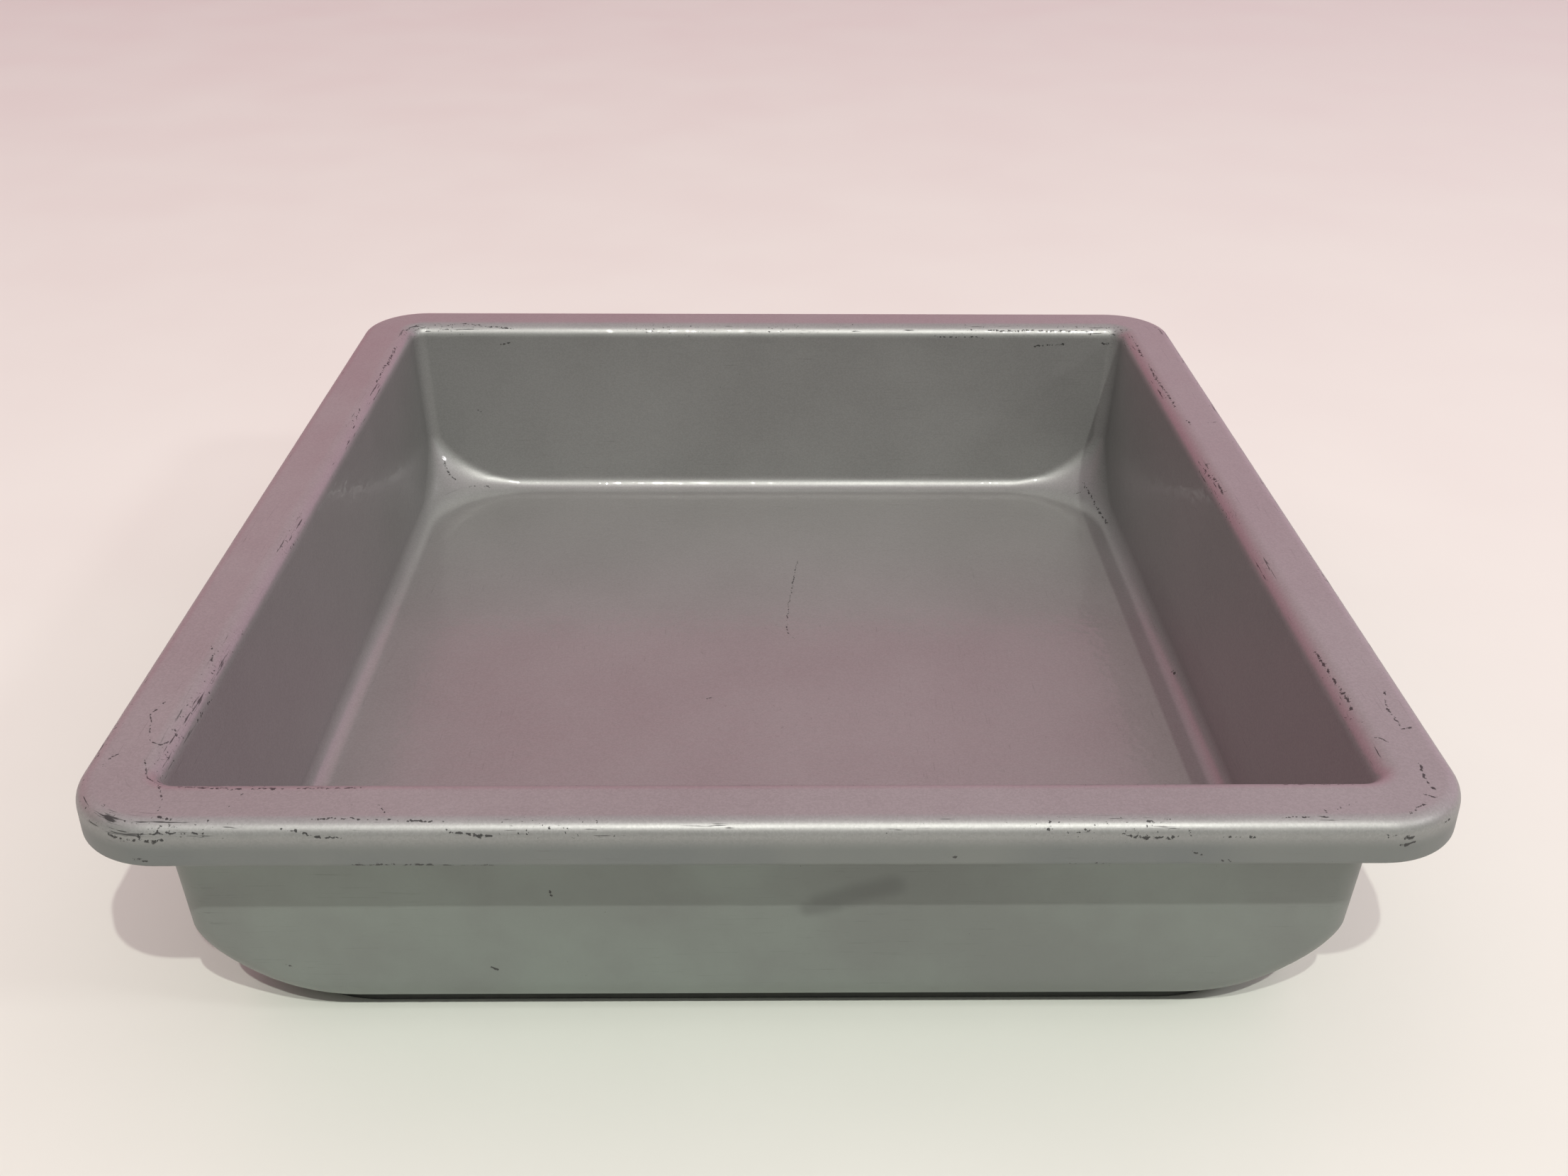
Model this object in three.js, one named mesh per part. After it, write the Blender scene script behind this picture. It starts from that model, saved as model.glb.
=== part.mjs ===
// A nearly square, moulded loaf pan: a flat rim with a down-turned skirt, drafted walls whose
// upright corners are tight at the rim and open into a large ball-shaped corner at the floor,
// and a black non-slip foot ring seated in a groove under the base.
// Millimetres, +Z up, origin at the centre of the footprint, on the surface the pan stands on.
import * as THREE from 'three';

// Overall size
const RIM_SIZE_X = 325;
const RIM_SIZE_Y = 354;
const TOTAL_HEIGHT = 76;

// Rim and skirt
const RIM_CORNER_RADIUS = 23;
const RIM_TO_WALL = 19;
const RIM_OUTER_EDGE_RADIUS = 4.2;
const RIM_INNER_EDGE_RADIUS = 5.5;
const SKIRT_HEIGHT = 11.5;
const SKIRT_LIP_RADIUS = 1.1;
const RIM_UNDERSIDE_FILLET = 3;

// Body
const WALL_THICKNESS = 3.3;
const WALL_DRAFT = 0.055;
const FLOOR_THICKNESS = 3.3;
const FLOOR_FILLET_RADIUS = 6;
const BASE_EDGE_RADIUS = 12;

// Corners of the body: tight down to the knee, then opening out into a ball
const UPRIGHT_CORNER_RADIUS = 5;
const FLOOR_CORNER_RADIUS = 38;
const BASE_CORNER_RADIUS = 33.3;
const KNEE_Z = 29.4;
const BALL_POWER = 1.36;

// Foot ring
const FOOT_STAND_OFF = 2.8;
const FOOT_WIDTH = 8;
const FOOT_INSET = 27.3;
const FOOT_EDGE_RADIUS = 0.6;
const GROOVE_DEPTH = 1.2;
const SEAT_GAP = 0.3;

// Smoothness
const CORNER_STEPS = 10;
const EDGE_STEPS = 6;
const SMALL_EDGE_STEPS = 3;
const BALL_STEPS = 14;

// Heights that follow from the sizes above
const BASE_Z = FOOT_STAND_OFF;
const FLOOR_Z = BASE_Z + FLOOR_THICKNESS;
const SKIRT_BOTTOM_Z = TOTAL_HEIGHT - SKIRT_HEIGHT;
const RIM_UNDERSIDE_Z = TOTAL_HEIGHT - WALL_THICKNESS;

// A level slice of the pan: a rounded rectangle set in from the rim's outer face.
function slice(inset, z, radius) {
  return { halfX: RIM_SIZE_X / 2 - inset, halfY: RIM_SIZE_Y / 2 - inset, z, radius };
}

// How far the inner wall stands in from the rim's outer face at a height.
function wallInset(z) {
  return RIM_TO_WALL + WALL_DRAFT * (TOTAL_HEIGHT - z);
}

// Slices round a quarter-round edge. The centre is an inset and a height, and the angle is
// measured from straight outwards, up being positive. radiusAtCentre is the corner radius of
// a slice through the arc's centre.
function edgeSlices(centreInset, centreZ, edgeRadius, radiusAtCentre, fromAngle, toAngle, steps) {
  const slices = [];
  for (let i = 0; i <= steps; i += 1) {
    const angle = THREE.MathUtils.lerp(fromAngle, toAngle, i / steps);
    const outwards = edgeRadius * Math.cos(angle);
    const z = centreZ + edgeRadius * Math.sin(angle);
    slices.push(slice(centreInset - outwards, z, radiusAtCentre + outwards));
  }
  return slices;
}

// Slices down one skin of the wall, from the knee to a height near the flat it turns into.
// skin gives how far the skin stands outside the inner wall, the height of the flat, the radius
// of the edge that turns into it, and the corner radius where that edge meets the flat.
// Measured across a corner the skin leaves the upright wall quickly and runs level into the
// flat, like an ellipse with a sharper start.
function ballSlices(skin, lowestZ) {
  const acrossCorner = Math.SQRT2 - 1;
  const kneeReach = acrossCorner * (UPRIGHT_CORNER_RADIUS + skin.standOff);
  const flatReach = acrossCorner * skin.flatCornerRadius + Math.SQRT2 * skin.edgeRadius;
  const turnTopZ = skin.flatZ + skin.edgeRadius;
  const lastAngle = Math.asin((KNEE_Z - lowestZ) / (KNEE_Z - skin.flatZ));
  const slices = [];
  for (let i = 0; i <= BALL_STEPS; i += 1) {
    const drop = Math.sin(lastAngle * (i / BALL_STEPS));
    const z = KNEE_Z - (KNEE_Z - skin.flatZ) * drop;
    const intoTurn = THREE.MathUtils.clamp(turnTopZ - z, 0, skin.edgeRadius);
    const turnedIn = skin.edgeRadius - Math.sqrt(skin.edgeRadius ** 2 - intoTurn ** 2);
    const opening = 1 - Math.sqrt(1 - drop ** BALL_POWER);
    const reach = THREE.MathUtils.lerp(kneeReach, flatReach, opening);
    const radius = (reach - Math.SQRT2 * turnedIn) / acrossCorner;
    slices.push(slice(wallInset(Math.max(z, turnTopZ)) - skin.standOff + turnedIn, z, radius));
  }
  return slices;
}

// Inside of the pan, from the floor's edge up to the flat of the rim.
function cavitySlices() {
  const insideSkin = {
    standOff: 0,
    flatZ: FLOOR_Z,
    edgeRadius: FLOOR_FILLET_RADIUS,
    flatCornerRadius: FLOOR_CORNER_RADIUS,
  };
  const roundStartZ = TOTAL_HEIGHT - RIM_INNER_EDGE_RADIUS;
  const innerEdge = edgeSlices(
    wallInset(roundStartZ) - RIM_INNER_EDGE_RADIUS, roundStartZ, RIM_INNER_EDGE_RADIUS,
    UPRIGHT_CORNER_RADIUS + RIM_INNER_EDGE_RADIUS, Math.PI, Math.PI / 2, EDGE_STEPS,
  );
  return [...ballSlices(insideSkin, FLOOR_Z).reverse(), ...innerEdge];
}

// Outer edge of the rim, the skirt and its rounded lip, then the hollow underside.
function skirtSlices() {
  const outerEdge = edgeSlices(
    RIM_OUTER_EDGE_RADIUS, TOTAL_HEIGHT - RIM_OUTER_EDGE_RADIUS, RIM_OUTER_EDGE_RADIUS,
    RIM_CORNER_RADIUS - RIM_OUTER_EDGE_RADIUS, Math.PI / 2, 0, EDGE_STEPS,
  );
  const lipZ = SKIRT_BOTTOM_Z + SKIRT_LIP_RADIUS;
  const outerLip = edgeSlices(
    SKIRT_LIP_RADIUS, lipZ, SKIRT_LIP_RADIUS,
    RIM_CORNER_RADIUS - SKIRT_LIP_RADIUS, 0, -Math.PI / 2, SMALL_EDGE_STEPS,
  );
  const innerLipInset = WALL_THICKNESS - SKIRT_LIP_RADIUS;
  const innerLip = edgeSlices(
    innerLipInset, lipZ, SKIRT_LIP_RADIUS,
    RIM_CORNER_RADIUS - innerLipInset, -Math.PI / 2, -Math.PI, SMALL_EDGE_STEPS,
  );
  const underInset = WALL_THICKNESS + RIM_UNDERSIDE_FILLET;
  const underEdge = edgeSlices(
    underInset, RIM_UNDERSIDE_Z - RIM_UNDERSIDE_FILLET, RIM_UNDERSIDE_FILLET,
    RIM_CORNER_RADIUS - underInset, 0, Math.PI / 2, SMALL_EDGE_STEPS,
  );
  return [...outerEdge, ...outerLip, ...innerLip, ...underEdge];
}

// Outside of the body, from the rim's underside down to the outer edge of the foot groove,
// which lies on the rounded base edge.
function bodySlices() {
  const rootZ = RIM_UNDERSIDE_Z - RIM_UNDERSIDE_FILLET;
  const rootRadius = UPRIGHT_CORNER_RADIUS + WALL_THICKNESS + RIM_UNDERSIDE_FILLET;
  const rootEdge = edgeSlices(
    wallInset(rootZ) - WALL_THICKNESS - RIM_UNDERSIDE_FILLET, rootZ, RIM_UNDERSIDE_FILLET,
    rootRadius, Math.PI / 2, Math.PI, SMALL_EDGE_STEPS,
  );
  const outsideSkin = {
    standOff: WALL_THICKNESS,
    flatZ: BASE_Z,
    edgeRadius: BASE_EDGE_RADIUS,
    flatCornerRadius: BASE_CORNER_RADIUS,
  };
  const flatInset = wallInset(BASE_Z + BASE_EDGE_RADIUS) - WALL_THICKNESS + BASE_EDGE_RADIUS;
  const beforeFlat = flatInset - (FOOT_INSET - SEAT_GAP);
  const intoTurn = Math.sqrt(BASE_EDGE_RADIUS ** 2 - beforeFlat ** 2);
  return [...rootEdge, ...ballSlices(outsideSkin, BASE_Z + BASE_EDGE_RADIUS - intoTurn)];
}

// Corner radius of the foot ring's outer face, set by the edge of the base round the groove.
function footCornerRadius() {
  return bodySlices().at(-1).radius - SEAT_GAP;
}

// Groove under the base that the foot ring sits in, then the flat base inside it.
function grooveSlices() {
  const outer = FOOT_INSET - SEAT_GAP;
  const inner = FOOT_INSET + FOOT_WIDTH + SEAT_GAP;
  const outerRadius = footCornerRadius() + SEAT_GAP;
  const innerRadius = footCornerRadius() - FOOT_WIDTH - SEAT_GAP;
  return [
    slice(outer, BASE_Z + GROOVE_DEPTH, outerRadius),
    slice(inner, BASE_Z + GROOVE_DEPTH, innerRadius),
    slice(inner, BASE_Z, innerRadius),
  ];
}

// Points of one slice, anticlockwise seen from above, starting at the +X +Y corner.
function slicePoints({ halfX, halfY, z, radius }) {
  const corners = [[1, 1], [-1, 1], [-1, -1], [1, -1]];
  const points = [];
  corners.forEach(([signX, signY], quarter) => {
    for (let i = 0; i <= CORNER_STEPS; i += 1) {
      const angle = (Math.PI / 2) * (quarter + i / CORNER_STEPS);
      const x = signX * (halfX - radius) + radius * Math.cos(angle);
      const y = signY * (halfY - radius) + radius * Math.sin(angle);
      points.push([x, y, z]);
    }
  });
  return points;
}

// Joins each slice to the next, and the last to the first when the skin is a closed ring.
// The slices run over the top, down the outside and in under the bottom, so faces point out.
function skinSlices(slices, { ring }) {
  const count = 4 * (CORNER_STEPS + 1);
  const positions = slices.flatMap(slicePoints).flat();
  const index = [];
  const bands = ring ? slices.length : slices.length - 1;
  for (let band = 0; band < bands; band += 1) {
    const lower = band * count;
    const upper = ((band + 1) % slices.length) * count;
    for (let i = 0; i < count; i += 1) {
      const next = (i + 1) % count;
      index.push(lower + i, upper + i, lower + next);
      index.push(lower + next, upper + i, upper + next);
    }
  }
  if (!ring) {
    const floorCentre = positions.length / 3;
    positions.push(0, 0, slices[0].z);
    positions.push(0, 0, slices[slices.length - 1].z);
    const last = (slices.length - 1) * count;
    for (let i = 0; i < count; i += 1) {
      const next = (i + 1) % count;
      index.push(floorCentre, i, next);
      index.push(floorCentre + 1, last + next, last + i);
    }
  }
  const geometry = new THREE.BufferGeometry();
  geometry.setAttribute('position', new THREE.Float32BufferAttribute(positions, 3));
  geometry.setIndex(index);
  return geometry;
}

function namedMesh(name, geometry, material) {
  geometry.computeVertexNormals();
  const mesh = new THREE.Mesh(geometry, material);
  mesh.name = name;
  return mesh;
}

// The one-piece moulding: cavity, rim, skirt, body and the underside with its groove.
function panShell() {
  const slices = [...cavitySlices(), ...skirtSlices(), ...bodySlices(), ...grooveSlices()];
  const silverCoat = new THREE.MeshStandardMaterial({
    color: 0x8c8a86, roughness: 0.35, metalness: 0.6,
  });
  return namedMesh('pan_shell', skinSlices(slices, { ring: false }), silverCoat);
}

// The foot ring: a plain ring with its lower edges eased, seated up in the groove.
function footRing() {
  const inset = FOOT_INSET;
  const radius = footCornerRadius();
  const topZ = BASE_Z + GROOVE_DEPTH - SEAT_GAP;
  const innerInset = inset + FOOT_WIDTH;
  const innerRadius = radius - FOOT_WIDTH;
  const outerEdge = edgeSlices(
    inset + FOOT_EDGE_RADIUS, FOOT_EDGE_RADIUS, FOOT_EDGE_RADIUS,
    radius - FOOT_EDGE_RADIUS, 0, -Math.PI / 2, SMALL_EDGE_STEPS,
  );
  const innerEdge = edgeSlices(
    innerInset - FOOT_EDGE_RADIUS, FOOT_EDGE_RADIUS, FOOT_EDGE_RADIUS,
    innerRadius + FOOT_EDGE_RADIUS, -Math.PI / 2, -Math.PI, SMALL_EDGE_STEPS,
  );
  const top = [slice(innerInset, topZ, innerRadius), slice(inset, topZ, radius)];
  const blackRubber = new THREE.MeshStandardMaterial({
    color: 0x232422, roughness: 0.8, metalness: 0,
  });
  const slices = [...outerEdge, ...innerEdge, ...top];
  return namedMesh('foot_ring', skinSlices(slices, { ring: true }), blackRubber);
}

const loafPan = new THREE.Group();
loafPan.add(panShell(), footRing());

export default loafPan;
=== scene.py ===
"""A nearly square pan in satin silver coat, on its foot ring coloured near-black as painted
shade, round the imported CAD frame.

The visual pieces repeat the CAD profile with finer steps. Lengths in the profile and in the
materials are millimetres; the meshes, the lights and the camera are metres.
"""
import math

import bpy
from mathutils import Matrix, Vector


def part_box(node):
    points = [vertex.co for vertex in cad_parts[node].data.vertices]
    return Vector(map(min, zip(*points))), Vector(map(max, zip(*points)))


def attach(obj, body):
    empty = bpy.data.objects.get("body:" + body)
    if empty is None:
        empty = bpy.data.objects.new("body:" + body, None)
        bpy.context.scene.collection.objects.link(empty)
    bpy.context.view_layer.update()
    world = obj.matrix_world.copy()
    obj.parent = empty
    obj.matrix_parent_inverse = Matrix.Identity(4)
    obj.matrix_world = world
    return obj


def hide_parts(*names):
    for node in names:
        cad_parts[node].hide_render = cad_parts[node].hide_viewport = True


MM = 0.001

# Profile of the pan, in millimetres
RIM_CORNER_RADIUS = 23
RIM_TO_WALL = 19
RIM_OUTER_EDGE_RADIUS = 4.2
RIM_INNER_EDGE_RADIUS = 5.5
SKIRT_HEIGHT = 11.5
SKIRT_LIP_RADIUS = 1.1
RIM_UNDERSIDE_FILLET = 3
WALL_THICKNESS = 3.3
WALL_DRAFT = 0.055
FLOOR_THICKNESS = 3.3
FLOOR_FILLET_RADIUS = 6
BASE_EDGE_RADIUS = 12
UPRIGHT_CORNER_RADIUS = 5
FLOOR_CORNER_RADIUS = 38
BASE_CORNER_RADIUS = 33.3
KNEE_Z = 29.4
BALL_POWER = 1.36
FOOT_WIDTH = 8
FOOT_INSET = 27.3
FOOT_EDGE_RADIUS = 0.6
GROOVE_DEPTH = 1.2
SEAT_GAP = 0.3

# Smoothness of the visual meshes: steps, then millimetres
CORNER_STEPS = 20
SIDE_STEPS = 12
EDGE_STEPS = 14
SMALL_EDGE_STEPS = 6
BALL_STEPS = 40
HOLD = 0.4
LONGEST_SPAN = 8
FLOOR_RING_SPACING = 9
BASE_RING_SPACING = 12
LAST_RING_HALF_WIDTH = 20
SMALLEST_RING_RADIUS = 4

# How far from a corner of the rim the wear is heavier, in millimetres
CORNER_REACH = 45

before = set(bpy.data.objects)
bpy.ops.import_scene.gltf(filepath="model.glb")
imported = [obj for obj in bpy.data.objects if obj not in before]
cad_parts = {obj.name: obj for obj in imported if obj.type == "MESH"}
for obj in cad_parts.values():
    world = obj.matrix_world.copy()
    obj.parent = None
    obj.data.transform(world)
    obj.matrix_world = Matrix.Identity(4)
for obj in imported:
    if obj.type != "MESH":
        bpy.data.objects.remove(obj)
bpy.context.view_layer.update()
shell_low, shell_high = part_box("pan_shell")
foot_low, foot_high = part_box("foot_ring")
HALF_X = shell_high.x / MM
HALF_Y = shell_high.y / MM
TOP_Z = shell_high.z / MM
BASE_Z = shell_low.z / MM
FOOT_TOP_Z = foot_high.z / MM
FLOOR_Z = BASE_Z + FLOOR_THICKNESS
SKIRT_BOTTOM_Z = TOP_Z - SKIRT_HEIGHT
RIM_UNDERSIDE_Z = TOP_Z - WALL_THICKNESS


# ---- Shape -------------------------------------------------------------------------------

def wall_inset(z):
    """How far the inner wall stands in from the rim's outer face at a height."""
    return RIM_TO_WALL + WALL_DRAFT * (TOP_Z - z)


def edge_slices(inset, z, edge_radius, radius_at_centre, from_degrees, to_degrees, steps):
    """Slices (inset, z, corner radius) round an edge; 0 degrees is outwards and 90 is up."""
    slices = []
    for i in range(steps + 1):
        angle = math.radians(from_degrees + (to_degrees - from_degrees) * i / steps)
        outwards = edge_radius * math.cos(angle)
        slices.append((inset - outwards, z + edge_radius * math.sin(angle),
                       radius_at_centre + outwards))
    return slices


def ball_slices(stand_off, flat_z, edge_radius, flat_corner_radius, lowest_z):
    """Slices down one skin of the wall, from the knee to a height near the flat it turns into.

    The skin stands a distance outside the inner wall. Measured across a corner it leaves the
    upright wall quickly and runs level into the flat, like an ellipse with a sharper start.
    """
    across_corner = math.sqrt(2) - 1
    knee_reach = across_corner * (UPRIGHT_CORNER_RADIUS + stand_off)
    flat_reach = across_corner * flat_corner_radius + math.sqrt(2) * edge_radius
    turn_top_z = flat_z + edge_radius
    last_angle = math.asin((KNEE_Z - lowest_z) / (KNEE_Z - flat_z))
    slices = []
    for i in range(BALL_STEPS + 1):
        drop = math.sin(last_angle * i / BALL_STEPS)
        z = KNEE_Z - (KNEE_Z - flat_z) * drop
        into_turn = min(max(turn_top_z - z, 0), edge_radius)
        turned_in = edge_radius - math.sqrt(edge_radius ** 2 - into_turn ** 2)
        opening = 1 - math.sqrt(1 - drop ** BALL_POWER)
        reach = knee_reach + (flat_reach - knee_reach) * opening
        radius = (reach - math.sqrt(2) * turned_in) / across_corner
        slices.append((wall_inset(max(z, turn_top_z)) - stand_off + turned_in, z, radius))
    return slices


def cavity_slices():
    """Inside of the pan, from the edge of the flat floor to the flat of the rim."""
    ball = ball_slices(0, FLOOR_Z, FLOOR_FILLET_RADIUS, FLOOR_CORNER_RADIUS, FLOOR_Z)
    round_z = TOP_Z - RIM_INNER_EDGE_RADIUS
    edge = edge_slices(wall_inset(round_z) - RIM_INNER_EDGE_RADIUS, round_z,
                       RIM_INNER_EDGE_RADIUS, UPRIGHT_CORNER_RADIUS + RIM_INNER_EDGE_RADIUS,
                       180, 90, EDGE_STEPS)
    return ball[::-1] + edge


def skirt_slices():
    """Outer edge of the rim, the skirt and its lip, and the hollow under the rim."""
    outer = edge_slices(RIM_OUTER_EDGE_RADIUS, TOP_Z - RIM_OUTER_EDGE_RADIUS,
                        RIM_OUTER_EDGE_RADIUS, RIM_CORNER_RADIUS - RIM_OUTER_EDGE_RADIUS,
                        90, 0, EDGE_STEPS)
    lip_z = SKIRT_BOTTOM_Z + SKIRT_LIP_RADIUS
    outer_lip = edge_slices(SKIRT_LIP_RADIUS, lip_z, SKIRT_LIP_RADIUS,
                            RIM_CORNER_RADIUS - SKIRT_LIP_RADIUS, 0, -90, SMALL_EDGE_STEPS)
    lip_inset = WALL_THICKNESS - SKIRT_LIP_RADIUS
    inner_lip = edge_slices(lip_inset, lip_z, SKIRT_LIP_RADIUS,
                            RIM_CORNER_RADIUS - lip_inset, -90, -180, SMALL_EDGE_STEPS)
    under_inset = WALL_THICKNESS + RIM_UNDERSIDE_FILLET
    under = edge_slices(under_inset, RIM_UNDERSIDE_Z - RIM_UNDERSIDE_FILLET,
                        RIM_UNDERSIDE_FILLET, RIM_CORNER_RADIUS - under_inset,
                        0, 90, SMALL_EDGE_STEPS)
    return outer, outer_lip + inner_lip + under


def body_slices():
    """Outside of the body, from the underside of the rim to the outer edge of the groove."""
    root_z = RIM_UNDERSIDE_Z - RIM_UNDERSIDE_FILLET
    root = edge_slices(wall_inset(root_z) - WALL_THICKNESS - RIM_UNDERSIDE_FILLET, root_z,
                       RIM_UNDERSIDE_FILLET,
                       UPRIGHT_CORNER_RADIUS + WALL_THICKNESS + RIM_UNDERSIDE_FILLET,
                       90, 180, SMALL_EDGE_STEPS)
    flat_inset = wall_inset(BASE_Z + BASE_EDGE_RADIUS) - WALL_THICKNESS + BASE_EDGE_RADIUS
    before_flat = flat_inset - (FOOT_INSET - SEAT_GAP)
    into_turn = math.sqrt(BASE_EDGE_RADIUS ** 2 - before_flat ** 2)
    return root + ball_slices(WALL_THICKNESS, BASE_Z, BASE_EDGE_RADIUS, BASE_CORNER_RADIUS,
                              BASE_Z + BASE_EDGE_RADIUS - into_turn)


def foot_corner_radius():
    """Corner radius of the foot ring's outer face, a seat gap inside the groove's."""
    return body_slices()[-1][2] - SEAT_GAP


def groove_slices():
    """Groove under the base that the foot ring sits in."""
    radius = foot_corner_radius()
    inner_inset = FOOT_INSET + FOOT_WIDTH + SEAT_GAP
    inner_radius = radius - FOOT_WIDTH - SEAT_GAP
    roof = BASE_Z + GROOVE_DEPTH
    return [(FOOT_INSET - SEAT_GAP, roof, radius + SEAT_GAP),
            (inner_inset, roof, inner_radius), (inner_inset, BASE_Z, inner_radius)]


def profile_distance(a, b):
    """Distance between two slices, measured across the profile of a straight side."""
    return math.hypot(b[0] - a[0], b[1] - a[1])


def between(a, b, share):
    """The tuple that lies a share of the way from a to b."""
    return tuple(p + (q - p) * share for p, q in zip(a, b))


def held(slices):
    """Adds slices near both ends of each long span, and along it, so that flats shade flat."""
    result = [slices[0]]
    for a, b in zip(slices, slices[1:]):
        length = profile_distance(a, b)
        if length > 4 * HOLD:
            steps = max(1, math.ceil((length - 2 * HOLD) / LONGEST_SPAN))
            for i in range(steps + 1):
                along = HOLD + (length - 2 * HOLD) * i / steps
                result.append(between(a, b, along / length))
        result.append(b)
    return result


def flat_rings(edge_slice, spacing):
    """Slices that step in from the edge of a flat towards its middle."""
    inset, z, radius = edge_slice
    rings = []
    step = HOLD
    while inset + step < HALF_X - LAST_RING_HALF_WIDTH:
        rings.append((inset + step, z, max(radius - step, SMALLEST_RING_RADIUS)))
        step += spacing
    return rings


def outline(slice_):
    """Points of one slice in metres, anticlockwise from above, from the +X +Y corner."""
    inset, z, radius = slice_
    centre_x, centre_y = HALF_X - inset - radius, HALF_Y - inset - radius
    corners = []
    for quarter, (sign_x, sign_y) in enumerate(((1, 1), (-1, 1), (-1, -1), (1, -1))):
        angles = [math.pi / 2 * (quarter + i / CORNER_STEPS) for i in range(CORNER_STEPS + 1)]
        corners.append([(sign_x * centre_x + radius * math.cos(a),
                         sign_y * centre_y + radius * math.sin(a)) for a in angles])
    points = []
    for quarter, corner in enumerate(corners):
        start, end = corner[-1], corners[(quarter + 1) % 4][0]
        points += corner
        points += [between(start, end, i / SIDE_STEPS) for i in range(1, SIDE_STEPS)]
    return [(x * MM, y * MM, z * MM) for x, y in points]


def wrapped_perimeter():
    """A point on a circle for each point of an outline, as far round as it is along the rim."""
    points = outline((0, 0, RIM_CORNER_RADIUS))
    runs = [0.0]
    for a, b in zip(points, points[1:] + points[:1]):
        runs.append(runs[-1] + math.dist(a, b) / MM)
    radius = runs[-1] / (2 * math.pi)
    return [(radius * math.cos(run / radius), radius * math.sin(run / radius))
            for run in runs[:-1]]


def skin(name, slices, ring):
    """One closed skin through the slices, with what its material needs on the vertices."""
    outlines = [outline(s) for s in slices]
    count = len(outlines[0])
    vertices = [point for points in outlines for point in points]
    faces = []
    for band in range(len(slices) if ring else len(slices) - 1):
        lower, upper = band * count, (band + 1) % len(slices) * count
        for i in range(count):
            j = (i + 1) % count
            faces.append((lower + i, upper + i, upper + j, lower + j))
    if not ring:
        faces.append(tuple(range(count)))
        faces.append(tuple(range(len(vertices) - count, len(vertices)))[::-1])
    mesh = bpy.data.meshes.new(name)
    mesh.from_pydata(vertices, [], faces)
    mesh.validate()
    mesh.shade_smooth()

    # "strip" wraps the perimeter round a circle, so that texture runs along the edges with no
    # seam: x and y go round it, and z is the distance across the profile.
    across = [0.0]
    for a, b in zip(slices, slices[1:]):
        across.append(across[-1] + profile_distance(a, b))
    wrapped = wrapped_perimeter()
    mesh.attributes.new("strip", "FLOAT_VECTOR", "POINT")
    mesh.attributes.new("corner", "FLOAT", "POINT")
    strip, corner = mesh.attributes["strip"].data, mesh.attributes["corner"].data
    for index, (x, y, _) in enumerate(vertices):
        band, column = divmod(index, count)
        strip[index].vector = (*wrapped[column], across[band])
        from_corner = max(HALF_X - abs(x) / MM, HALF_Y - abs(y) / MM)
        corner[index].value = max(0.0, 1 - from_corner / CORNER_REACH)
    piece = bpy.data.objects.new(name, mesh)
    bpy.context.scene.collection.objects.link(piece)
    return piece, across


def pan_shell():
    """The whole pan as one closed skin, and where its features lie across the profile."""
    cavity = held(cavity_slices())
    outer, under = skirt_slices()
    outside = held([cavity[-1]] + outer + under + body_slices() + groove_slices())[1:]
    floor_rings = flat_rings(cavity[0], FLOOR_RING_SPACING)[::-1]
    base_rings = flat_rings(outside[-1], BASE_RING_SPACING)
    slices = floor_rings + cavity + outside + base_rings
    piece, across = skin("silver_pan", slices, ring=False)

    def distance_at(target):
        return across[slices.index(target)]

    marks = {
        "floor_edge": distance_at(cavity[0]),
        "rim_inner": distance_at(cavity[-1]) - math.pi / 4 * RIM_INNER_EDGE_RADIUS,
        "rim_flat_start": distance_at(cavity[-1]),
        "rim_outer": distance_at(outer[0]) + math.pi / 4 * RIM_OUTER_EDGE_RADIUS,
        "skirt_start": distance_at(outer[-1]),
        "lip": distance_at(under[SMALL_EDGE_STEPS]),
        "body_start": distance_at(body_slices()[0]),
    }
    return piece, marks


def foot_ring():
    """The band in the groove, with eased lower edges."""
    inset, radius = FOOT_INSET, foot_corner_radius()
    inner_inset, inner_radius = inset + FOOT_WIDTH, radius - FOOT_WIDTH
    outer = edge_slices(inset + FOOT_EDGE_RADIUS, FOOT_EDGE_RADIUS, FOOT_EDGE_RADIUS,
                        radius - FOOT_EDGE_RADIUS, 0, -90, SMALL_EDGE_STEPS)
    inner = edge_slices(inner_inset - FOOT_EDGE_RADIUS, FOOT_EDGE_RADIUS, FOOT_EDGE_RADIUS,
                        inner_radius + FOOT_EDGE_RADIUS, -90, -180, SMALL_EDGE_STEPS)
    top = [(inner_inset, FOOT_TOP_Z, inner_radius), (inset, FOOT_TOP_Z, radius)]
    loop = held(outer + inner + top + [outer[0]])[:-1]
    return skin("foot_ring_painted_shade", loop, ring=True)[0]


# ---- Node materials ----------------------------------------------------------------------

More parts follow.
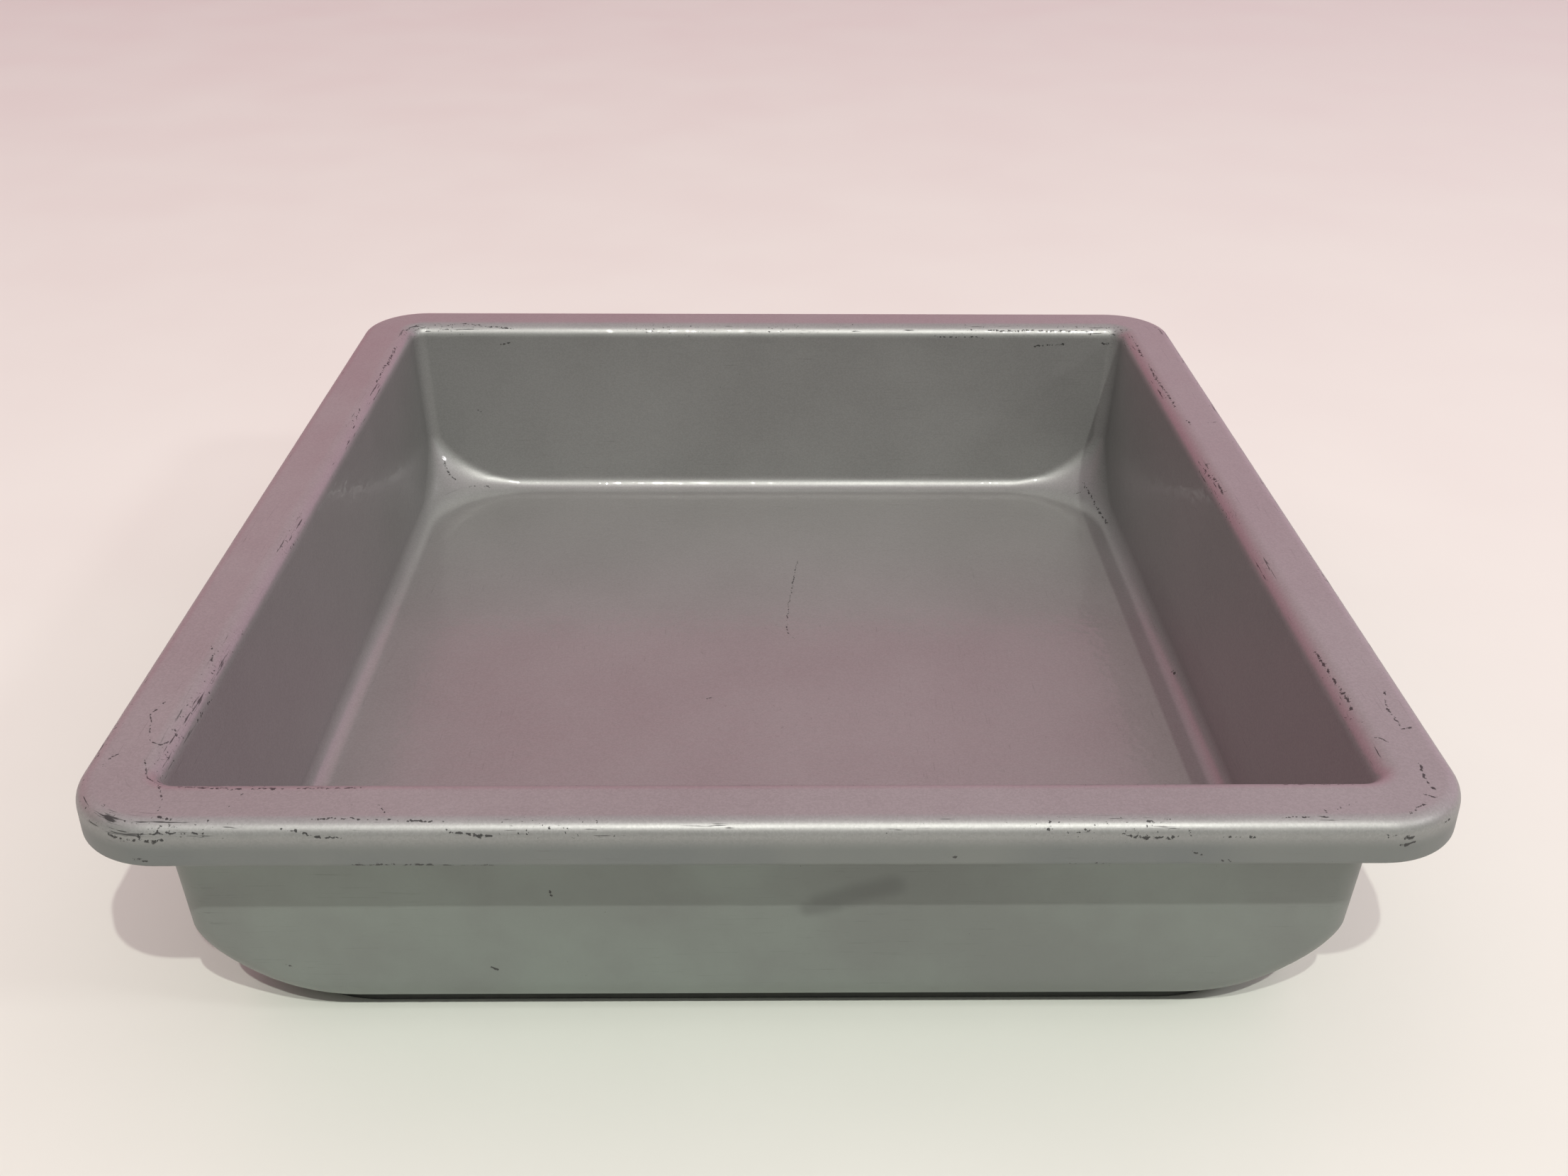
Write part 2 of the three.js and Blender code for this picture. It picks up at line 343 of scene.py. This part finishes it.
class Graph:
    """Adds shader nodes to a new material. A value is a number, a tuple or a socket."""

    def __init__(self, name):
        self.material = bpy.data.materials.new(name)
        self.material.use_nodes = True
        self.tree = self.material.node_tree
        self.shader = self.tree.nodes["Principled BSDF"]

    def node(self, kind, inputs, output=0, **settings):
        node = self.tree.nodes.new(kind)
        for key, value in settings.items():
            setattr(node, key, value)
        for key, value in inputs.items():
            self.feed(node.inputs[key], value)
        return node.outputs[output]

    def feed(self, socket, value):
        if isinstance(value, bpy.types.NodeSocket):
            self.tree.links.new(value, socket)
        else:
            socket.default_value = value

    def math(self, operation, *values, clamp=False):
        return self.node("ShaderNodeMath", dict(enumerate(values)), operation=operation,
                         use_clamp=clamp)

    def vector(self, operation, *values, output=0, **inputs):
        return self.node("ShaderNodeVectorMath", {**dict(enumerate(values)), **inputs},
                         output=output, operation=operation)

    def attribute(self, name, output):
        return self.node("ShaderNodeAttribute", {}, output=output, attribute_name=name)

    def noise(self, place, scale, detail=2.0, roughness=0.5, stretch=None):
        if stretch:
            place = self.vector("MULTIPLY", place, stretch)
        return self.node("ShaderNodeTexNoise", {"Vector": place, "Scale": scale,
                                                "Detail": detail, "Roughness": roughness})

    def ramp(self, value, low, high, to_low=0.0, to_high=1.0):
        """Smooth step of a value from low to high; low may be above high."""
        return self.node("ShaderNodeMapRange",
                         {"Value": value, "From Min": low, "From Max": high,
                          "To Min": to_low, "To Max": to_high},
                         interpolation_type="SMOOTHSTEP")

    def mix(self, share, a, b):
        return self.node("ShaderNodeMix", {0: share, 2: a, 3: b}, data_type="FLOAT")

    def mix_colour(self, share, a, b):
        return self.node("ShaderNodeMix", {0: share, 6: a, 7: b}, output=2, data_type="RGBA")

    def bump(self, height, distance):
        """A normal pushed out by a height from 0 to 1, times a distance in metres."""
        return self.node("ShaderNodeBump", {"Height": height, "Distance": distance})

    def any(self, *masks):
        """The strongest of several masks."""
        result = masks[0]
        for mask in masks[1:]:
            result = self.math("MAXIMUM", result, mask)
        return result

    def all(self, *masks):
        """The product of several masks."""
        result = masks[0]
        for mask in masks[1:]:
            result = self.math("MULTIPLY", result, mask)
        return result


# Scuffs, chips, scratches and dark lines that stand out one by one: half width, then points,
# millimetres
STROKES = [
    # Rim, front left corner: chips on the edge and a thin wandering scratch
    (0.6, (-157.1, -153.3, 76), (-156.6, -150.2, 76), (-155, -147.9, 76)),
    (0.5, (-156.1, -168.1, 74.7), (-150.9, -169.2, 76)),
    (0.6, (-137.9, -173.3, 75.9), (-134.9, -174.3, 75.7)),
    (0.8, (-148.5, -174.9, 72.5), (-145.2, -176.2, 71.7), (-142.9, -176.7, 72.3)),
    (0.8, (-141.8, -176.6, 73.2), (-139.4, -177, 71.8), (-136.7, -177, 72)),
    (0.35, (-141, -176.4, 73.8), (-127, -176.5, 73.9)),
    (0.6, (-143.5, -176.6, 66.7), (-140.9, -176.9, 66.5)),
    (0.35, (-151.8, -125, 76), (-153.4, -130.9, 76), (-149.7, -142.9, 76),
     (-146.8, -143.9, 75.6), (-145.6, -141.9, 75)),
    (0.35, (-148.2, -150.5, 75.9), (-145.5, -157.5, 75.7), (-141, -161.7, 75.9)),
    (0.35, (-142, -161, 75.9), (-139.1, -165.7, 76), (-138.7, -170.6, 76)),
    (0.6, (-146.2, -136.5, 75.4), (-145.1, -138.4, 74.6)),
    (0.4, (-143.3, -116.7, 71.5), (-143.5, -128.4, 72)),
    (0.45, (-148.2, -98, 75.9), (-146.2, -104.2, 75.3)),
    # Rim, along the front
    (0.5, (-110.7, -176.1, 74.4), (-106.7, -176.2, 74.2), (-102.7, -176.7, 73.2),
     (-96.2, -176.9, 72.7)),
    (0.6, (-73, -176.3, 74), (-68.5, -176.6, 73.4), (-63, -176.9, 72.8)),
    (0.35, (-103, -173.9, 75.8), (-84.8, -174.2, 75.7), (-74, -174.6, 75.5)),
    (0.6, (-137, -161.3, 75.7), (-124, -162.6, 75.9), (-95, -162.2, 75.8)),
    (0.45, (-140, -158.8, 74.6), (-118, -158.9, 74.6), (-80, -158.8, 74.5)),
    (0.4, (-121.7, -164.8, 76), (-120.8, -164.1, 76)),
    (0.5, (-124.1, -170.7, 76), (-123.2, -169.5, 76)),
    (0.5, (-96.8, -169.1, 76), (-95.7, -168.7, 76)),
    (0.4, (-89.4, -169.1, 76), (-87.6, -171.8, 76)),
    # A dark line along the bottom edge of the skirt
    (0.6, (-94.5, -176.9, 65.3), (-78.3, -176.9, 65.1), (-63.2, -176.7, 64.8)),
    (0.5, (39.7, -177, 67.5), (41.6, -177, 67.1)),
    (0.5, (73.3, -177, 65.2), (76.6, -176.7, 65)),
    (0.6, (79.1, -176.9, 72.6), (91.7, -176.9, 72.5)),
    (0.6, (84.2, -175, 75.3), (86.8, -174.9, 75.4)),
    (0.5, (95.4, -177, 68.5), (97.4, -177, 67.3)),
    (0.55, (100.8, -176.9, 72.4), (108.5, -176.9, 72.5)),
    (0.35, (114.6, -174, 75.8), (125.4, -174, 75.8)),
    (0.4, (101.9, -177, 66.1), (104, -177, 65.6)),
    (0.45, (119.5, -160.9, 75.4), (135.3, -161, 75.5)),
    # Rim, front right corner and the right side
    (0.7, (153.6, -153.3, 76), (152.6, -159.8, 76), (153.4, -163.6, 76)),
    (0.6, (150.4, -165.8, 76), (152.8, -166.7, 76)),
    (0.5, (125.2, -171.5, 76), (125.5, -172.9, 76)),
    (0.4, (128.8, -171.2, 76), (133.6, -168.6, 76)),
    (0.5, (144.5, -173, 76), (149.3, -168.9, 76)),
    (0.5, (153.3, -172.2, 72.8), (155.3, -170.2, 73.2)),
    (0.7, (138.5, -176.9, 72.6), (144.8, -176.3, 71.9)),
    (0.6, (141.9, -176.8, 70), (145.6, -176.1, 70.5)),
    (0.5, (156.4, -120.6, 76), (154.4, -129.6, 76), (154.8, -138.2, 76), (157.3, -137.4, 76)),
    (0.6, (145.2, -99, 74.8), (145.5, -108.2, 75), (145.9, -117.6, 75.2),
     (145.9, -128.3, 75.2)),
    (0.4, (147.1, -141.4, 75.8), (149.5, -144.1, 76)),
    (0.6, (144.6, 21.7, 74.2), (144.8, 11.6, 74.5)),
    (0.6, (145.8, 12, 75.2), (145.8, -1.1, 75.1)),
    (0.6, (147.7, 60.2, 75.9), (148, 54.7, 75.9)),
    (0.5, (154.6, 56.9, 76), (158, 57.5, 76)),
    (0.6, (146.4, 117.1, 75.4), (146.1, 107, 75.3), (146.7, 73, 75.6)),
    (0.8, (146, 141.2, 75.3), (145.9, 125.9, 75.2)),
    (0.7, (157.5, 157.7, 76), (158.9, 154.8, 76), (158.9, 150.1, 76)),
    # Rim, along the back and down the left
    (0.6, (-124.8, 161.5, 75.7), (-112.9, 160, 74.9), (-101.7, 159.2, 74.2)),
    (0.5, (-108.5, 157.6, 68.2), (-103.9, 157.6, 68.9)),
    (0.5, (67.9, 157.9, 71.8), (87.6, 157.9, 71.6)),
    (0.5, (89.5, 159, 74), (110, 159, 74), (132.3, 159, 74)),
    (0.7, (109, 157.6, 68), (120.7, 157.6, 68.7)),
    (0.8, (136.8, 157.6, 69), (139.2, 157.6, 69)),
    (0.8, (-145.8, 135.4, 75.2), (-145.4, 116.2, 74.9)),
    (0.5, (-145.8, 115.4, 75.2), (-145.5, 97.6, 75)),
    (0.5, (-145.4, 61.7, 74.9), (-145.9, 70.7, 75.2)),
    # Inside: hair scratch and specks on the floor, thin dark lines in the far corners
    (0.35, (11.3, 86.2, 6), (7.5, 52.7, 6), (6.5, 34.3, 6)),
    (0.35, (6.5, 34.3, 6), (6.9, 30.2, 6), (9.4, 26.2, 6)),
    (0.6, (-20.6, -13.6, 6), (-19.2, -12.3, 6)),
    (0.9, (137.6, 1.6, 7.4), (138.3, -0.6, 7.9)),
    (0.7, (-135.4, 152.4, 20.5), (-134.9, 150.8, 18), (-133.2, 148.9, 14.8),
     (-130.6, 148.3, 12.4)),
    (0.6, (-126.9, 147.2, 9.2), (-121.5, 149.2, 8.3), (-114.5, 151, 7.5)),
    (0.6, (125.5, 144.2, 7), (131.8, 142.2, 9.1)),
    (0.7, (132.2, 146.2, 11.9), (134.1, 140.4, 9.7), (136.4, 125.2, 6.9), (137.4, 117.2, 7.2)),
    (0.6, (-119.8, 156, 40), (-118.7, 156, 39.7)),
    # Front wall
    (0.6, (-53.9, -159.5, 43.7), (-53.1, -159.4, 42.4)),
    (0.5, (-69.9, -158.1, 18.5), (-68.6, -158.1, 17.5)),
    (0.5, (-120.7, -158.2, 19.7), (-119.5, -158.2, 19.2)),
]

STROKE_BATCH = 12

# Soft dark rubs on the front wall, in the same form
RUBS = [
    (2.2, (9, -159.2, 37.6), (15.7, -159.3, 38.9)),
    (3.2, (12, -159.2, 39), (19, -159.4, 42), (29, -159.6, 45)),
]


def stroke_distance(g, place, strokes):
    """Distance to the nearest stroke, in half widths of that stroke.

    Cycles has room for a few dozen values at a time. A share of the last result too small to
    see goes into the next batch's place, which makes it work through the batches in turn.
    """
    nearest = None
    here = place
    waiting = 0
    for half_width, *points in strokes:
        for start, end in zip(points, points[1:]):
            if waiting == STROKE_BATCH:
                here = g.vector("MULTIPLY_ADD", nearest, (1e-6, 1e-6, 1e-6), place)
                waiting = 0
            waiting += 1
            start, run = Vector(start), Vector(end) - Vector(start)
            offset = g.vector("SUBTRACT", here, tuple(start))
            share = g.vector("DOT_PRODUCT", offset, tuple(run / run.length_squared), output=1)
            share = g.math("ADD", share, 0.0, clamp=True)
            foot_point = g.vector("SCALE", tuple(run), Scale=share)
            distance = g.vector("DISTANCE", offset, foot_point, output=1)
            distance = g.math("MULTIPLY", distance, 1 / half_width)
            nearest = g.math("MINIMUM", nearest, distance) if nearest else distance
    return nearest


# Silver coat: colours
COAT_DARK = (0.264, 0.270, 0.262, 1)
COAT_LIGHT = (0.290, 0.296, 0.288, 1)
FLAKE_COLOUR = (0.6, 0.6, 0.6, 1)
# Painted shade: darkens the inside of the pan a little
INSIDE_PAINTED_SHADE = (0.1, 0.1, 0.1, 1)
# Painted warm reflection on the floor, which also darkens it
FLOOR_PAINTED_WARM_REFLECTION = (0.12, 0.06, 0.04, 1)
# Painted shade on the outside: skirt and body darkened, the body also given a painted greenish
# reflection
SKIRT_PAINTED_SHADE = (0.15, 0.165, 0.165, 1)
BODY_PAINTED_SHADE_GREEN = (0.225, 0.255, 0.235, 1)
OUTSIDE_PAINTED_SHADE_CLOUD = (0.19, 0.203, 0.193, 1)
STAIN_COLOUR = (0.08, 0.08, 0.08, 1)
BARE_COLOUR = (0.03, 0.03, 0.03, 1)

# Silver coat: how much of each colour is mixed in
FLAKE_SHARE = 0.12
INSIDE_PAINTED_SHADE_SHARE = 0.05
FLOOR_PAINTED_REFLECTION_SHARE = 0.12
# Share of the painted shade on the outside
OUTSIDE_PAINTED_SHADE_SHARE = 0.9
HAIR_SHARE = 0.35
RUB_SHARE = 0.36

# Silver coat: size of each pattern, in millimetres
CLOUD_SIZE = 60
WEAR_PATCH_SIZE = 45
GRIT_SIZE = 1.1
WOBBLE_SIZE = 2.5
WOBBLE_REACH = 1.6
PEEL_SIZE = 3.2
LUMP_SIZE = 4
FLAKES_PER_MM = 2.2
EDGE_WEAR_REACH = 5.0
LIP_WEAR_REACH = 2.4

# Silver coat: shine and relief
COAT_METALLIC = 0.52
RIM_ROUGHNESS = 0.46
INSIDE_ROUGHNESS = 0.45
ROUGHNESS_SWING = 0.04
BARE_ROUGHNESS = 0.6
CLEAR_LAYER = 0.42
CLEAR_LAYER_ROUGHNESS = 0.04
PEEL_HEIGHT = 0.000012
LUMP_HEIGHT = 0.0002


def coat_wear(g, place, strip, across, corner, marks):
    """Where the coat is worn to the black, where it is rubbed, and the patches wear favours."""
    def band(centre, reach):
        """1 along a line of the profile, falling to 0 at a distance from it."""
        return g.ramp(g.math("ABSOLUTE", g.math("SUBTRACT", across, centre)), reach, reach / 5)

    inner_edge = band(marks["rim_inner"], EDGE_WEAR_REACH)
    outer_edge = band(marks["rim_outer"], EDGE_WEAR_REACH)
    lip = band(marks["lip"], LIP_WEAR_REACH)

    # Single strokes, with their outline broken up
    wobble = g.node("ShaderNodeTexNoise",
                    {"Vector": place, "Scale": 1 / WOBBLE_SIZE, "Detail": 2.0}, output="Color")
    wobble = g.vector("SCALE", g.vector("SUBTRACT", wobble, (0.5, 0.5, 0.5)),
                      Scale=WOBBLE_REACH)
    near = g.vector("ADD", place, wobble)
    grit = g.noise(place, 1 / GRIT_SIZE, detail=2, roughness=0.65)
    strokes = g.ramp(g.math("ADD", stroke_distance(g, near, STROKES),
                            g.ramp(grit, 0.38, 0.62, 0.7, -0.2)), 0.75, 0.35)
    rubs = g.ramp(stroke_distance(g, place, RUBS), 1.6, 0.2)

    # Long scuffs that run along the edges
    patches = g.ramp(g.noise(place, 1 / WEAR_PATCH_SIZE, detail=1), 0.40, 0.60)
    edges = g.any(inner_edge, outer_edge, lip)
    lines = g.noise(strip, 1, detail=3, roughness=0.6, stretch=(0.07, 0.07, 1.1))
    favour = g.math("MULTIPLY", edges, 0.13)
    favour = g.math("ADD", favour, g.math("MULTIPLY", patches, 0.07))
    favour = g.math("ADD", favour, g.math("MULTIPLY", corner, 0.06))
    scuffs = g.all(g.ramp(g.math("ADD", lines, favour), 0.81, 0.87), edges)

    # Flecks, thickest where patches meet the edges
    favour = g.math("MULTIPLY", g.all(edges, patches), 0.15)
    flecks = g.ramp(g.math("ADD", grit, favour), 0.775, 0.83)
    return g.any(strokes, scuffs, flecks), rubs, patches


def coat_tint(g, place, strip, across, inside, clouds, rubs, patches, marks):
    """Colour of the unworn coat: cloudy and flaked; painted shade inside and outside, a painted
    warm reflection on the floor, a painted green reflection outside.
    """
    flake = g.node("ShaderNodeTexVoronoi", {"Vector": place, "Scale": FLAKES_PER_MM},
                   output="Color")
    flake = g.node("ShaderNodeSeparateXYZ", {0: flake}, output="X")
    hairs = g.noise(strip, 1, detail=4, roughness=0.7, stretch=(0.05, 0.05, 2.2))
    hairs = g.all(g.ramp(hairs, 0.60, 0.72), patches)
    tint = g.mix_colour(g.ramp(clouds, 0.3, 0.7), COAT_DARK, COAT_LIGHT)
    tint = g.mix_colour(g.math("MULTIPLY", flake, FLAKE_SHARE), tint, FLAKE_COLOUR)
    outside = g.ramp(across, marks["skirt_start"] - 2, marks["skirt_start"] + 3)
    body = g.ramp(across, marks["lip"], marks["body_start"])
    floor = g.ramp(across, marks["floor_edge"] + 5, marks["floor_edge"] - 3)
    # Painted shade inside the pan
    tint = g.mix_colour(g.math("MULTIPLY", inside, INSIDE_PAINTED_SHADE_SHARE), tint, INSIDE_PAINTED_SHADE)
    # Painted warm reflection on the floor
    tint = g.mix_colour(g.math("MULTIPLY", floor, FLOOR_PAINTED_REFLECTION_SHARE), tint, FLOOR_PAINTED_WARM_REFLECTION)
    # Painted shade on the skirt and body, the body also given a painted greenish reflection
    outside_painted_shade = g.mix_colour(body, SKIRT_PAINTED_SHADE, BODY_PAINTED_SHADE_GREEN)
    outside_painted_shade = g.mix_colour(g.ramp(clouds, 0.3, 0.7), outside_painted_shade, OUTSIDE_PAINTED_SHADE_CLOUD)
    tint = g.mix_colour(g.math("MULTIPLY", outside, OUTSIDE_PAINTED_SHADE_SHARE), tint, outside_painted_shade)
    stain = g.any(g.math("MULTIPLY", hairs, HAIR_SHARE), g.math("MULTIPLY", rubs, RUB_SHARE))
    return g.mix_colour(stain, tint, STAIN_COLOUR)


def silver_coat(marks):
    """Satin metallic coat: clear layer inside, mottled, with painted shade and reflections, and
    scuffed to the black under it.
    """
    g = Graph("satin_silver")
    place = g.vector("SCALE", g.node("ShaderNodeTexCoord", {}, output="Object"), Scale=1 / MM)
    strip = g.attribute("strip", "Vector")
    across = g.node("ShaderNodeSeparateXYZ", {0: strip}, output="Z")
    corner = g.attribute("corner", "Fac")
    inside = g.ramp(across, marks["rim_flat_start"], marks["rim_inner"] - 4)
    bare, rubs, patches = coat_wear(g, place, strip, across, corner, marks)

    clouds = g.noise(place, 1 / CLOUD_SIZE, detail=4, roughness=0.6)
    tint = coat_tint(g, place, strip, across, inside, clouds, rubs, patches, marks)

    rough = g.mix(inside, RIM_ROUGHNESS, INSIDE_ROUGHNESS)
    rough = g.math("ADD", rough, g.ramp(clouds, 0.25, 0.75, -ROUGHNESS_SWING, ROUGHNESS_SWING))
    peel = g.noise(place, 1 / PEEL_SIZE, detail=2)
    lumps = g.noise(place, 1 / LUMP_SIZE, detail=1)

    sockets = g.shader.inputs
    g.feed(sockets["Base Color"], g.mix_colour(bare, tint, BARE_COLOUR))
    g.feed(sockets["Metallic"], g.mix(bare, COAT_METALLIC, 0.0))
    g.feed(sockets["Roughness"], g.mix(bare, rough, BARE_ROUGHNESS))
    g.feed(sockets["Normal"], g.bump(peel, PEEL_HEIGHT))
    g.feed(sockets["Coat Normal"], g.bump(lumps, LUMP_HEIGHT))
    g.feed(sockets["Coat Weight"], g.math("MULTIPLY", inside, CLEAR_LAYER))
    sockets["Coat Roughness"].default_value = CLEAR_LAYER_ROUGHNESS
    return g.material


# Foot ring and table: colours, then pattern sizes in millimetres and in metres
# Painted shade: the foot ring's near-black colour stands for the dark band of shade under the
# base
FOOT_PAINTED_SHADE_COLOUR = (0.02, 0.021, 0.019, 1)
DUST_COLOUR = (0.09, 0.088, 0.08, 1)
PORE_SIZE = 0.8
PORE_HEIGHT = 0.00003
DUST_SIZE = 14
TABLE_DARK = (0.68, 0.71, 0.65, 1)
TABLE_LIGHT = (0.72, 0.75, 0.69, 1)
TABLE_MOTTLES_PER_METRE = 9


def foot_painted_shade():
    """Dull near-black painted shade for the dark band under the base, with fine pores and a
    little dust.
    """
    g = Graph("dark_foot_painted_shade")
    place = g.vector("SCALE", g.node("ShaderNodeTexCoord", {}, output="Object"), Scale=1 / MM)
    pores = g.noise(place, 1 / PORE_SIZE, detail=3, roughness=0.6)
    dust = g.ramp(g.noise(place, 1 / DUST_SIZE, detail=5, roughness=0.7), 0.45, 0.75)
    colour = g.mix_colour(g.math("MULTIPLY", dust, 0.5), FOOT_PAINTED_SHADE_COLOUR, DUST_COLOUR)
    g.feed(g.shader.inputs["Base Color"], colour)
    g.feed(g.shader.inputs["Roughness"], g.ramp(dust, 0, 1, 0.62, 0.88))
    g.feed(g.shader.inputs["Normal"], g.bump(pores, PORE_HEIGHT))
    return g.material


def pale_table():
    """Pale laminate, faintly mottled."""
    g = Graph("pale_table")
    place = g.node("ShaderNodeTexCoord", {}, output="Object")
    mottle = g.noise(place, TABLE_MOTTLES_PER_METRE, detail=4)
    g.feed(g.shader.inputs["Base Color"], g.mix_colour(mottle, TABLE_DARK, TABLE_LIGHT))
    g.feed(g.shader.inputs["Roughness"], g.ramp(mottle, 0.3, 0.7, 0.5, 0.58))
    return g.material


# ---- Stage, lights and camera ------------------------------------------------------------

SKY_FRONT = (0.11, 0.14, 0.11, 1)
SKY_BEHIND_LEFT = (0.78, 0.24, 0.36, 1)
SKY_BEHIND_RIGHT = (1.15, 0.68, 0.90, 1)
SKY_ABOVE = (0.76, 0.62, 0.67, 1)

TABLE_HALF_WIDTH = 8

# Lamps: name, place in metres, watts, radius in metres, colour
LAMPS = [
    ("right_lamp", (0.78, -2.19, 3.07), 228, 0.03, (1.0, 1.0, 0.93)),
    ("left_lamp", (-0.26, -2.19, 3.07), 186, 0.03, (1.0, 1.0, 0.93)),
    ("side_lamp", (2.4, -1.0, 1.9), 56, 0.2, (1.0, 0.97, 0.98)),
]

# Camera: millimetres, metres and degrees
LENS = 37.1
SENSOR_WIDTH = 36
NEAREST_SEEN = 0.01
CAMERA_PLACE = (-0.0025, -0.4692, 0.294)
CAMERA_YAW = -0.90
CAMERA_DOWN = 28.36
CAMERA_ROLL = 0.42


def table_top():
    mesh = bpy.data.meshes.new("table_top")
    half = TABLE_HALF_WIDTH
    mesh.from_pydata([(-half, -half, 0), (half, -half, 0), (half, half, 0), (-half, half, 0)],
                     [], [(0, 1, 2, 3)])
    mesh.materials.append(pale_table())
    table = bpy.data.objects.new("table_top", mesh)
    bpy.context.scene.collection.objects.link(table)


def lamp(name, place, watts, radius, colour):
    light = bpy.data.lights.new(name, "POINT")
    light.energy = watts
    light.shadow_soft_size = radius
    light.color = colour
    holder = bpy.data.objects.new(name, light)
    holder.location = place
    bpy.context.scene.collection.objects.link(holder)


def sky():
    """Soft light from all round: pink behind the pan, brightest on the right, paler overhead
    and dim in front."""
    world = bpy.data.worlds.new("studio")
    world.use_nodes = True
    bpy.context.scene.world = world
    tree = world.node_tree

    def node(kind, **inputs):
        made = tree.nodes.new(kind)
        for name, value in inputs.items():
            socket = made.inputs[int(name[1:])] if name[1:].isdigit() else made.inputs[name]
            if isinstance(value, bpy.types.NodeSocket):
                tree.links.new(value, socket)
            else:
                socket.default_value = value
        return made

    place = node("ShaderNodeTexCoord").outputs["Generated"]
    split = node("ShaderNodeSeparateXYZ", _0=place)
    right = node("ShaderNodeMapRange", _0=split.outputs["X"], _1=-0.2, _2=0.9)
    behind = node("ShaderNodeMapRange", _0=split.outputs["Y"], _1=-0.4, _2=0.5)
    above = node("ShaderNodeMapRange", _0=split.outputs["Z"], _1=0.38, _2=0.85)
    for step in (right, behind, above):
        step.interpolation_type = "SMOOTHSTEP"
    back = node("ShaderNodeMix", _0=right.outputs[0], _6=SKY_BEHIND_LEFT, _7=SKY_BEHIND_RIGHT)
    around = node("ShaderNodeMix", _0=behind.outputs[0], _6=SKY_FRONT, _7=back.outputs[2])
    dome = node("ShaderNodeMix", _0=above.outputs[0], _6=around.outputs[2], _7=SKY_ABOVE)
    for step in (back, around, dome):
        step.data_type = "RGBA"
    tree.links.new(dome.outputs[2], tree.nodes["Background"].inputs["Color"])


def camera():
    data = bpy.data.cameras.new("camera")
    data.lens = LENS
    data.sensor_width = SENSOR_WIDTH
    data.clip_start = NEAREST_SEEN
    data.dof.use_dof = False
    holder = bpy.data.objects.new("camera", data)
    turn = (Matrix.Rotation(math.radians(CAMERA_YAW), 4, "Z")
            @ Matrix.Rotation(math.radians(90 - CAMERA_DOWN), 4, "X")
            @ Matrix.Rotation(math.radians(CAMERA_ROLL), 4, "Z"))
    holder.matrix_world = Matrix.Translation(CAMERA_PLACE) @ turn
    bpy.context.scene.collection.objects.link(holder)
    bpy.context.scene.camera = holder


# ---- The scene ---------------------------------------------------------------------------

pan, profile_marks = pan_shell()
pan.data.materials.append(silver_coat(profile_marks))
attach(pan, "root")
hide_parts("pan_shell")

foot = foot_ring()
# Near-black foot ring: painted shade
foot.data.materials.append(foot_painted_shade())
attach(foot, "root")
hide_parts("foot_ring")

table_top()
for settings in LAMPS:
    lamp(*settings)
sky()
camera()
bpy.context.scene.view_settings.view_transform = "Standard"
